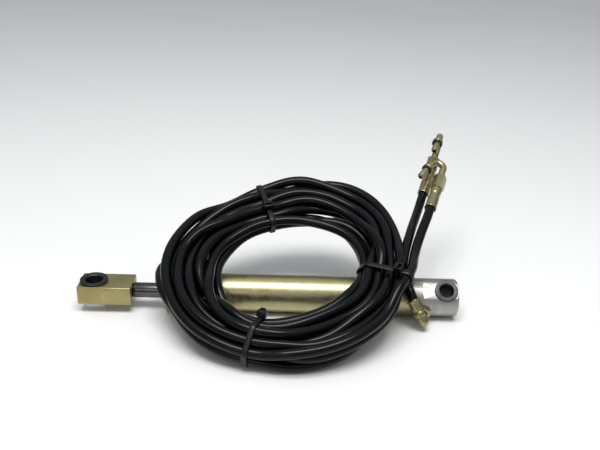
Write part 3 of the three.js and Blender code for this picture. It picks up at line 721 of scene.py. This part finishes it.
GUIDE = soft_black("guide_plastic", (0.04, 0.12, 0.09), 0.4, 0.55)

CAD_MATERIALS = {
    "yellow_zinc": ZINC_SMALL,
    "machined_steel": STEEL,
    "dark_steel": DARK,
    "chrome_rod": CHROME,
    "seal_rubber": RUBBER,
    "hose_rubber": HOSE,
    "nylon": NYLON,
    "bronze": BRONZE,
    "guide_plastic": GUIDE,
}
NODE_SLOTS = {row["node"]: row["material_slot"] for row in frame["record"]["subparts"]}

for node, cad in frame["nodes"].items():
    cad.data.materials.clear()
    cad.data.materials.append(CAD_MATERIALS[NODE_SLOTS[node]])

# ------------------------------------------------------------------ hoses and their ties


def hose_curve(name, replaced):
    data = bpy.data.curves.new(f"hose_{name}", "CURVE")
    data.dimensions = "3D"
    data.bevel_depth = HOSE_R * MM
    data.bevel_resolution = 5
    data.use_fill_caps = True
    spline = data.splines.new("POLY")
    route = ROUTES[name]
    spline.points.add(len(route) - 1)
    for at, p in zip(spline.points, route):
        at.co = (*(p * MM), 1)
    data.materials.append(HOSE)
    piece = add_object(f"hose_{name}", data, "barrel", replaced)
    return piece


def section_at(name):
    """Centres of the hose turns that a tie holds, in its own plane, and that plane's axes."""
    angle, skew = TIE_ANGLES[name], TIE_SKEWS[name]
    origin = around_coil(np.array([angle]), bundle_at([angle])[0], 0.0)[0]
    turned = math.radians(angle + skew)
    direction = math.cos(turned) * EU + math.sin(turned) * EV
    across = unit(np.cross(EN, direction))
    rows = []
    for hose in ("a", "b"):
        q = ROUTES[hose] - origin
        ahead, along = q @ across, q @ direction
        for i in np.flatnonzero((ahead[:-1] < 0) & (ahead[1:] >= 0)):
            if abs(along[i]) < TIE_REACH:
                t = ahead[i] / (ahead[i] - ahead[i + 1])
                p = q[i] * (1 - t) + q[i + 1] * t
                rows.append((p @ direction, p @ EN))
    return np.array(rows), origin, direction, across


def hull_around(centres, radius, count=96):
    """The rounded outline of a strap pulled around circles, as points in their plane."""
    a = np.linspace(0, 2 * math.pi, 40, endpoint=False)
    rim = np.concatenate([c + radius * np.stack([np.cos(a), np.sin(a)], 1) for c in centres])
    rim = rim[np.lexsort((rim[:, 1], rim[:, 0]))]

    def half(points):
        line = []
        for p in points:
            while len(line) > 1:
                one, two = line[-1] - line[-2], p - line[-1]
                if one[0] * two[1] - one[1] * two[0] > 0:
                    break
                line.pop()
            line.append(p)
        return line

    hull = np.array(half(rim)[:-1] + half(rim[::-1])[:-1])
    hull = np.vstack([hull, hull[:1]])
    run = np.concatenate([[0], np.cumsum(np.linalg.norm(np.diff(hull, axis=0), axis=1))])
    at = np.linspace(0, run[-1], count, endpoint=False)
    return np.stack([np.interp(at, run, hull[:, k]) for k in range(2)], 1)


STRAP_WIDTH = 3.6
STRAP_THICKNESS = 0.9
# Each head's place across the strap from -1, inside, to 1, outside, its side, and its tail.
TIE_HEADS = {"top": (-0.35, 1, 6.2), "right": (0.4, 1, 5.4), "bottom": (-0.9, 1, 5.8)}


def cable_tie(name):
    """A strap around the turns, with a slotted head and its cut tail, made where the turns lie."""
    centres, origin, direction, across = section_at(name)
    line = hull_around(centres, HOSE_R + 0.25 + STRAP_THICKNESS / 2)
    middle = line.mean(0)
    outward = line - middle
    tangent = np.roll(line, -1, 0) - np.roll(line, 1, 0)
    normal = np.stack([tangent[:, 1], -tangent[:, 0]], 1)
    normal /= np.linalg.norm(normal, axis=1)[:, None]
    normal *= np.sign((normal * outward).sum(1))[:, None]
    half_w, half_t, edge = STRAP_WIDTH / 2, STRAP_THICKNESS / 2, 0.25
    section = [
        (-half_w, half_t - edge), (-half_w + edge, half_t), (half_w - edge, half_t),
        (half_w, half_t - edge), (half_w, -half_t + edge), (half_w - edge, -half_t),
        (-half_w + edge, -half_t), (-half_w, -half_t + edge),
    ]

    def solid_point(flat, side):
        return (origin + flat[0] * direction + flat[1] * EN + side * across) * MM

    bm = bmesh.new()
    rings = []
    for p, out in zip(line, normal):
        rings.append([bm.verts.new(tuple(solid_point(p + t * out, w))) for w, t in section])
    for i, ring in enumerate(rings):
        following = rings[(i + 1) % len(rings)]
        for k in range(len(section)):
            m = (k + 1) % len(section)
            bm.faces.new((ring[k], ring[m], following[m], following[k]))
    bmesh.ops.recalc_face_normals(bm, faces=bm.faces)
    strap = bpy.data.meshes.new(f"cable_tie_{name}_strap")
    bm.to_mesh(strap)
    bm.free()
    strap.materials.append(NYLON)
    finish_mesh(strap, 50)
    strap_piece = add_object(
        f"cable_tie_{name}_strap", strap, "barrel", [f"cable_tie_{name}"]
    )

    where, upper, tail_length = TIE_HEADS[name]
    top = line[:, 1] * upper > middle[1] * upper
    target = middle[0] + where * np.ptp(line[:, 0]) / 2
    score = np.abs(line[:, 0] - target) + np.where(top, 0, 1000)
    at = int(score.argmin())
    out3 = unit(normal[at][0] * direction + normal[at][1] * EN)
    run3 = unit(np.cross(across, out3))
    seat = origin + line[at][0] * direction + line[at][1] * EN
    head = tie_head(name, seat, out3, run3, across, tail_length)
    return [strap_piece, head]


def tie_head(name, seat, out, run, across, tail_length):
    """The tie's square head with its slot, its pawl step, and the strap's cut end beyond it."""

    head = add_object(f"cable_tie_{name}_head", box_mesh((-2.6, -2.9, 0.1), (2.6, 2.9, 4.4)), None)
    cut(head, box_mesh((-1.0, -2.1, -1.0), (0.6, 2.1, 7.0)))
    cut(head, box_mesh((0.4, -1.3, 2.9), (2.0, 1.3, 6.0)))
    soften(head, 0.45, 3)
    tail = add_object("tail", box_mesh((-0.7, -1.75, 0.4), (0.3, 1.75, tail_length)), None)
    for i in range(int((tail_length - 2) / 1.2)):
        z = tail_length - 1.0 - 1.2 * i
        if z > 4.8:
            cut(tail, box_mesh((0.1, -1.2, z - 0.35), (0.8, 1.2, z + 0.25)))
    soften(tail, 0.12, 2)
    bm = bmesh.new()
    bm.from_mesh(head.data)
    bm.from_mesh(tail.data)
    turn = Matrix((Vector(run), Vector(across), Vector(out))).transposed().to_4x4()
    bm.transform(Matrix.Translation(Vector(seat * MM)) @ turn)
    bmesh.ops.recalc_face_normals(bm, faces=bm.faces)
    mesh = bpy.data.meshes.new(f"cable_tie_{name}_head")
    bm.to_mesh(mesh)
    bm.free()
    bpy.data.objects.remove(tail)
    head.data = finish_mesh(mesh, 40)
    head.data.materials.append(NYLON)
    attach(head, "barrel")
    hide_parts(f"cable_tie_{name}")
    return head


TIES = {name: cable_tie(name) for name in TIE_ANGLES}

# ------------------------------------------------------------------ barrel, rod and block


def turned_piece(name, outline, matrix, body, look, replaced, radius=0.35, segments=96):
    mesh = finish_mesh(turned_mesh(name, rounded(outline, radius), matrix, segments))
    mesh.materials.append(look)
    return add_object(name, mesh, body, replaced)


ALONG_X = Matrix.Translation((0, 0, AXIS_Z * MM))

BARREL_LEFT, BARREL_RIGHT = -68.0, 94.0
barrel_outline = [
    (BARREL_LEFT, BORE_R + 0.5), (BARREL_LEFT, BARREL_R), (BARREL_RIGHT, BARREL_R),
    (BARREL_RIGHT, BORE_R), (-64.9, BORE_R), (-64.9, BORE_R + 0.9), (-66.4, BORE_R + 0.9),
    (-66.4, BORE_R), (BARREL_LEFT + 0.5, BORE_R),
]
turned_piece(
    "barrel_tube_shell", barrel_outline, ALONG_X, "barrel", ZINC, ["barrel_tube"],
    0.3, 160,
)

rod_left = -89.5 - 12.5
rod_outline = [
    (rod_left, 0), (rod_left, 4), (-89.2, 4), (-89.2, ROD_R),
    (67.5, ROD_R), (67.5, 4), (84.1, 4), (84.1, 0),
]
turned_piece(
    "piston_rod_bar", rod_outline, ALONG_X, "rod", CHROME, ["piston_rod"], 0.4, 96
)

EYE_AXIS = np.array([0, -math.cos(BASE_EYE_TILT), math.sin(BASE_EYE_TILT)])
EYE_CENTRE = np.array([BASE_EYE_X, 0, AXIS_Z])


def along_eye(offset, flip=1):
    return place_matrix(EYE_CENTRE + offset * EYE_AXIS, flip * EYE_AXIS, (1, 0, 0))


def end_cap():
    """The base end: a bar with a rounded rim, spot-faced around its bush, with a port pocket."""
    cap_left, cap_right, spigot_left, rim = 94.3, 124.5, 86.3, 2.5
    turn = np.linspace(0, math.pi / 2, 10)
    rounded_rim = [
        (cap_right - rim * (1 - math.sin(t)), BARREL_R - rim * (1 - math.cos(t))) for t in turn
    ]
    outline = [
        (spigot_left, 0), (spigot_left, 9.35), (spigot_left + 0.5, 9.85), (88.5, 9.85), (88.5, 8.2),
        (91.5, 8.2), (91.5, 9.85), (cap_left, 9.85), (cap_left, BARREL_R - 0.3),
        (cap_left + 0.3, BARREL_R), *rounded_rim, (cap_right, 0),
    ]
    piece = add_object("end_cap_body", turned_mesh("cap", outline, ALONG_X, 128), None)
    cut(piece, disc_mesh(0, 20, 15.6, along_eye(11.2), 128))
    cut(piece, disc_mesh(0, 20, 15.6, along_eye(-9.5, -1), 128))
    cut(piece, disc_mesh(0, 60, 6.15, along_eye(-30), 96))
    port = np.array([101.0, 0, AXIS_Z])
    dip = math.radians(17)
    towards = np.array([0, -math.cos(dip), -math.sin(dip)])
    cut(piece, disc_mesh(9.2, 15, 4.3, place_matrix(port, towards, (0, 0, 1)), 64))
    cut(piece, disc_mesh(1, 12, 2.0, place_matrix(port, towards, (0, 0, 1)), 48))
    soften(piece, 0.45, 3, 30)
    piece.data.materials.append(STEEL)
    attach(piece, "barrel")
    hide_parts("end_cap")


end_cap()


def flanged_bush(name, bore, body, flange, thickness, length, matrix, ride, replaced, dish=0.7):
    r_bore, r_body, r_flange = bore / 2, body / 2, flange / 2
    outline = [
        (0.0, r_bore + dish), (0.0, r_flange), (thickness, r_flange), (thickness, r_body),
        (length, r_body), (length, r_bore), (dish, r_bore),
    ]
    return turned_piece(name, outline, matrix, ride, DARK, [replaced], 0.35, 96)


flanged_bush(
    "base_eye_bush_ring", 8.3, 12, 15, 1.4, 22.25, along_eye(12.75, -1), "barrel", "base_eye_bush"
)
rod_bush_place = place_matrix((ROD_EYE_X, 0, AXIS_Z + 7.6), (0, 0, -1), (1, 0, 0))
flanged_bush(
    "rod_eye_bush_ring", 10.8, 13.6, 18.2, 1.2, 13.85, rod_bush_place, "rod", "rod_eye_bush", 0.9
)


def rod_end_block():
    """The flat block on the rod's end, with its eye bore, its thread bore and broken edges."""
    left, length, width, thick = -124.5, 35.0, 20.0, 12.5
    low = (left, -width / 2, AXIS_Z - thick / 2)
    high = (left + length, width / 2, AXIS_Z + thick / 2)
    piece = add_object("rod_end_block_body", box_mesh(low, high), None)
    down = place_matrix((ROD_EYE_X, 0, AXIS_Z + 20), (0, 0, -1), (1, 0, 0))
    cut(piece, disc_mesh(0, 40, 6.95, down, 96))
    cut(piece, disc_mesh(left + length - 13.5, left + length + 1, 4.15, ALONG_X, 64))
    entry = [(-90.4, 0), (-90.4, 4.15), (-88.5, 6.1), (-88.5, 0)]
    cut(piece, turned_mesh("entry", entry, ALONG_X, 64))
    soften(piece, 0.55, 4, 30)
    piece.data.materials.append(ZINC_BLOCK)
    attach(piece, "rod")
    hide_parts("rod_end_block")


rod_end_block()

# ------------------------------------------------------------------ port and hose-end fittings

FERRULE_R = 4.2


def ferrule(name, length, matrix, replaced):
    """A crimped ferrule: a lip at the hose, a smooth body and one pressed waist behind it."""
    body, waist = FERRULE_R - 0.2, FERRULE_R - 0.8
    outline = [
        (0, 0), (0, body - 0.7), (0.7, body), (length * 0.26, body), (length * 0.3, waist),
        (length * 0.4, waist), (length * 0.44, body), (length - 1.9, body),
        (length - 1.5, FERRULE_R), (length, FERRULE_R), (length, 3.35), (length - 5, 3.35),
        (length - 5, 0),
    ]
    return turned_piece(name, outline, matrix, "barrel", ZINC_SMALL, [replaced], 0.3, 64)


def bezier(a, b, c, count=14):
    t = np.linspace(0, 1, count)[:, None]
    return (1 - t) ** 2 * a + 2 * t * (1 - t) * b + t * t * c


def port_pipe(name, port_x, side, dip, face, hose):
    """One port: the bent pipe, the nut that holds it in, and the ferrule on its hose."""
    axis = np.array([port_x, 0, AXIS_Z])
    towards = np.array([0, side * math.cos(dip), -math.sin(dip)])
    corner = in_mm(PORT_CORNERS[hose])
    end = in_mm(PORT_ENDS[hose])
    out = unit(end - corner)
    reach = 5.0
    first = axis + (face - 3.0) * towards
    before, after = corner - reach * towards, corner + reach * out
    last = end - 11.3 * out
    straight = [first + (before - first) * t for t in (0, 0.5)]
    path = np.vstack([straight, bezier(before, corner, after), [last]])
    mesh = finish_mesh(sweep_mesh(f"{name}_port_pipe_tube", path, PIPE_R, 32))
    mesh.materials.append(ZINC_SMALL)
    add_object(f"{name}_port_pipe_tube", mesh, "barrel", [f"{name}_port_pipe"])
    back = place_matrix(end - 12 * out, out, (0, 0, 1))
    ferrule(f"{name}_port_ferrule_shell", 12, back, f"{name}_port_ferrule")
    nut = hex_piece(f"{name}_port_nut_body", 9.0, 2.6, 2.8)
    shank = [(-2.0, 2.8), (-2.0, 4.0), (0.4, 4.0), (0.4, 2.8)]
    cut(nut, turned_mesh("shank", shank, None, 64), "UNION")
    nut.data.transform(place_matrix(axis + (face + 0.3) * towards, towards, (0, 0, 1)))
    soften(nut, 0.25, 3, 40)
    nut.data.materials.append(ZINC_SMALL)
    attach(nut, "barrel")
    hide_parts(f"{name}_port_nut")


def hex_piece(name, across_flats, length, hole):
    """A hexagon along +X with chamfered corners and a round hole."""
    corner = across_flats / math.sqrt(3)
    body = add_object(name, disc_mesh(0, length, corner, None, 6), None)
    round_off = [
        (0, 0), (0, across_flats / 2 - 0.05), (0.45, corner + 0.05), (length - 0.45, corner + 0.05),
        (length, across_flats / 2 - 0.05), (length, 0),
    ]
    cut(body, turned_mesh("round_off", round_off, None, 96), "INTERSECT")
    if hole:
        cut(body, disc_mesh(-1, length + 1, hole, None, 64))
    return body


port_pipe("base", 101.0, -1, math.radians(17), BARREL_R, "a")
port_pipe("rod", -46.5, 1, math.radians(22.5), 16.8, "b")

END_FERRULE, END_NUT = 20.0, 13.0
HOOK_BEND, HOOK_SWEEP, HOOK_BACK = 4.6, math.radians(165), 18.0
END_LEGS = {"a": 12.5, "b": 9.0}
END_SIDES = {"a": (-0.12, -0.62, 0.78), "b": (-0.93, 0.24, 0.27)}


def hose_end(name):
    """A hose's free end: crimped ferrule, hexagon nipple, hooked pipe with collar, and O-ring."""
    tail = in_mm(TAILS[name])
    along = unit(tail[-1] - tail[-2])
    leg = END_LEGS[name]
    start = tail[-1] + 0.3 * along
    place = place_matrix(start, along, END_SIDES[name])
    flip = place @ Matrix.Translation((END_FERRULE * MM, 0, 0)) @ Matrix.Rotation(math.pi, 4, "Z")
    shell = ferrule(f"hose_{name}_ferrule_shell", END_FERRULE, flip, f"hose_{name}_ferrule")
    nut_at = END_FERRULE + 0.3
    nut = hex_piece(f"hose_{name}_hex_nipple_body", 8.4, END_NUT, 0)
    neck = [(END_NUT - 0.3, 0), (END_NUT - 0.3, 3.5), (END_NUT + 0.2, 3.5), (END_NUT + 0.2, 0)]
    cut(nut, turned_mesh("neck", neck, None, 64), "UNION")
    nut.data.transform(place @ Matrix.Translation((nut_at * MM, 0, 0)))
    soften(nut, 0.3, 3, 40)
    nut.data.materials.append(ZINC_SMALL)
    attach(nut, "barrel")
    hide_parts(f"hose_{name}_hex_nipple")

    pipe_at = nut_at + END_NUT + 0.3
    turn = np.linspace(0, HOOK_SWEEP, 28)
    bow = np.stack([leg + HOOK_BEND * np.sin(turn), 0 * turn, HOOK_BEND * (1 - np.cos(turn))], 1)
    back_way = np.array([math.cos(HOOK_SWEEP), 0, math.sin(HOOK_SWEEP)])

    def back_at(distance):
        return bow[-1] + distance * back_way

    line = np.vstack([[(0, 0, 0)], [(leg * 0.5, 0, 0)], bow, [back_at(d) for d in (3, 10, HOOK_BACK)]])
    pipe = add_object(f"hose_{name}_end_pipe_tube", sweep_mesh("pipe", line, PIPE_R, 32), None)
    to_back = place_matrix(bow[-1], back_way, (0, 1, 0))
    collar = rounded([(5.0, 0), (5.0, 3.8), (7.2, 3.8), (7.2, 0)], 0.8, 5)
    cut(pipe, turned_mesh("collar", collar, to_back, 64), "UNION")
    cut(pipe, turned_mesh("chamfer", [(17.0, 3.2), (17.0, 2.5), (18.1, 1.6), (18.1, 3.2)], to_back, 64))
    cut(pipe, disc_mesh(HOOK_BACK - 8, HOOK_BACK + 1, 1.3, to_back, 48))
    move = place @ Matrix.Translation((pipe_at * MM, 0, 0))
    pipe.data.transform(move)
    soften(pipe, 0.2, 2, 45)
    pipe.data.materials.append(ZINC_SMALL)
    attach(pipe, "barrel")
    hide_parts(f"hose_{name}_end_pipe")

    a = np.linspace(0, 2 * math.pi, 20, endpoint=False)
    ring_line = [(8.05 + 0.55 * math.sin(t), 3.3 + 0.55 * math.cos(t)) for t in a]
    ring_mesh = finish_mesh(turned_mesh("ring", ring_line, move @ to_back, 64))
    ring_mesh.materials.append(RUBBER)
    ring = add_object(
        f"hose_{name}_o_ring_seal", ring_mesh, "barrel", [f"hose_{name}_o_ring"]
    )
    return [shell, nut, pipe, ring]


ENDS = {name: hose_end(name) for name in ("a", "b")}

hoses = {
    "a": hose_curve("a", ["hose_coil", "hose_a_lead", "hose_a_tail"]),
    "b": hose_curve("b", ["hose_coil", "hose_b_lead", "hose_b_tail"]),
}

# ------------------------------------------------------------------ floor and light


def floor():
    mesh = box_mesh((-2500, -2500, -40), (2500, 4500, 0))
    n = Nodes("table_top")
    cloud = n.noise(3, 3, 0.5)
    colour = n.mix(n.span(cloud, 0.0, 1.0, 0.3, 0.7), (0.82, 0.82, 0.81), (0.80, 0.80, 0.79))
    rough = n.span(cloud, 0.20, 0.28, 0.3, 0.7)
    mesh.materials.append(n.set(Base_Color=colour, Roughness=rough))
    piece = bpy.data.objects.new("floor", mesh)
    bpy.context.collection.objects.link(piece)


def area_light(name, place, target, size, power, colour=(1, 1, 1)):
    data = bpy.data.lights.new(name, "AREA")
    data.shape = "RECTANGLE"
    data.size, data.size_y = size
    data.energy = power
    data.color = colour
    light = bpy.data.objects.new(name, data)
    light.location = place
    light.rotation_euler = (Vector(target) - Vector(place)).to_track_quat("-Z", "Y").to_euler()
    bpy.context.collection.objects.link(light)


def studio_world(zenith, horizon):
    """Soft light from above, fading to a dim room at the horizon."""
    world = bpy.data.worlds.new("studio")
    world.use_nodes = True
    tree = world.node_tree
    place = tree.nodes.new("ShaderNodeTexCoord").outputs["Generated"]
    split = tree.nodes.new("ShaderNodeSeparateXYZ")
    tree.links.new(place, split.inputs[0])
    fade = tree.nodes.new("ShaderNodeMapRange")
    for i, value in enumerate((0.0, 0.9, horizon, zenith)):
        fade.inputs[i + 1].default_value = value
    tree.links.new(split.outputs["Z"], fade.inputs[0])
    background = tree.nodes["Background"]
    background.inputs["Color"].default_value = (0.94, 0.96, 1.0, 1)
    tree.links.new(fade.outputs["Result"], background.inputs["Strength"])
    return world


floor()
area_light("overhead", (0.0, -0.32, 1.25), (0, 0, 0), (0.9, 0.5), 15.5)
area_light("front_fill", (-0.5, -1.4, 0.8), (0, 0, 0), (0.7, 0.5), 1.2)
world = studio_world(0.72, 0.13)
bpy.context.scene.world = world
bpy.context.scene.view_settings.view_transform = "Standard"
